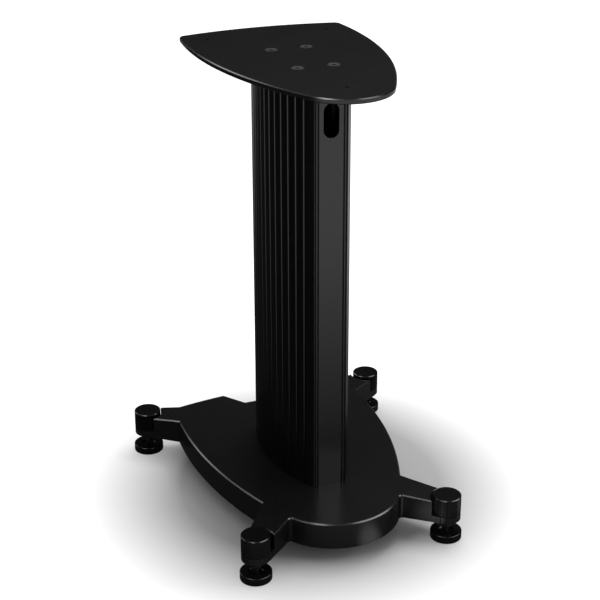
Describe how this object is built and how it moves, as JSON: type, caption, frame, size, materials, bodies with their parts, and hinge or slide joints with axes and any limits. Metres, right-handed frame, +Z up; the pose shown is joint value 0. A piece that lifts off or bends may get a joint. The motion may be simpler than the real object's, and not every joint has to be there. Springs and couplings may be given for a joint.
{
  "type": "loudspeaker stand",
  "caption": "Floor stand for a loudspeaker: lute shaped top plate on a ribbed column with a cable slot, and a base plate with arms that end in levelling knobs on spikes and round shoes.",
  "frame": {"origin": "on the floor, under the middle of the stand's bounding box", "axes": "+Z up, +Y towards the rounded nose with the cable slot, -Y towards the wide bowed front edge, +X to the stand's left, seen from its front"},
  "size_m": [0.381, 0.403, 0.61],
  "materials": {
    "base_aluminium": "satin black anodised, machined",
    "column_aluminium": "satin black anodised extrusion",
    "top_steel": "fine satin black powder coat",
    "screw_steel": "black oxide steel",
    "washer_steel": "plain steel",
    "bush_brass": "turned brass",
    "knob_aluminium": "satin black anodised, knurled",
    "spike_steel": "black oxide steel, turned",
    "shoe_aluminium": "satin black anodised, turned"
  },
  "bodies": {
    "stand": {"base_plate": "base_aluminium", "column": "column_aluminium", "top_plate": "top_steel", "top_screws": "screw_steel", "base_screws": "screw_steel", "base_washers": "washer_steel", "bush_front_left": "bush_brass", "bush_front_right": "bush_brass", "bush_rear_left": "bush_brass", "bush_rear_right": "bush_brass"},
    "foot_front_left": {"shoe_front_left": "shoe_aluminium"},
    "screw_front_left": {"spike_front_left": "spike_steel", "knob_front_left": "knob_aluminium"},
    "foot_front_right": {"shoe_front_right": "shoe_aluminium"},
    "screw_front_right": {"spike_front_right": "spike_steel", "knob_front_right": "knob_aluminium"},
    "foot_rear_left": {"shoe_rear_left": "shoe_aluminium"},
    "screw_rear_left": {"spike_rear_left": "spike_steel", "knob_rear_left": "knob_aluminium"},
    "foot_rear_right": {"shoe_rear_right": "shoe_aluminium"},
    "screw_rear_right": {"spike_rear_right": "spike_steel", "knob_rear_right": "knob_aluminium"}
  },
  "joints": [
    {"name": "level_front_left", "type": "slide", "parent": "stand", "child": "foot_front_left", "axis": [0, 0, 1], "range_m": [0, 0.0075]},
    {"name": "turn_front_left", "type": "hinge", "parent": "foot_front_left", "child": "screw_front_left", "pos_m": [0.17, -0.181, 0], "axis": [0, 0, 1], "range_deg": [0, 1800]},
    {"name": "level_front_right", "type": "slide", "parent": "stand", "child": "foot_front_right", "axis": [0, 0, 1], "range_m": [0, 0.0075]},
    {"name": "turn_front_right", "type": "hinge", "parent": "foot_front_right", "child": "screw_front_right", "pos_m": [-0.17, -0.181, 0], "axis": [0, 0, 1], "range_deg": [0, 1800]},
    {"name": "level_rear_left", "type": "slide", "parent": "stand", "child": "foot_rear_left", "axis": [0, 0, 1], "range_m": [0, 0.0075]},
    {"name": "turn_rear_left", "type": "hinge", "parent": "foot_rear_left", "child": "screw_rear_left", "pos_m": [0.131, 0.181, 0], "axis": [0, 0, 1], "range_deg": [0, 1800]},
    {"name": "level_rear_right", "type": "slide", "parent": "stand", "child": "foot_rear_right", "axis": [0, 0, 1], "range_m": [0, 0.0075]},
    {"name": "turn_rear_right", "type": "hinge", "parent": "foot_rear_right", "child": "screw_rear_right", "pos_m": [-0.131, 0.181, 0], "axis": [0, 0, 1], "range_deg": [0, 1800]}
  ],
  "couplings": [
    {"joint": "turn_front_left", "follows": "level_front_left", "rad_per_m": 4188.7},
    {"joint": "turn_front_right", "follows": "level_front_right", "rad_per_m": 4188.7},
    {"joint": "turn_rear_left", "follows": "level_rear_left", "rad_per_m": 4188.7},
    {"joint": "turn_rear_right", "follows": "level_rear_right", "rad_per_m": 4188.7}
  ]
}
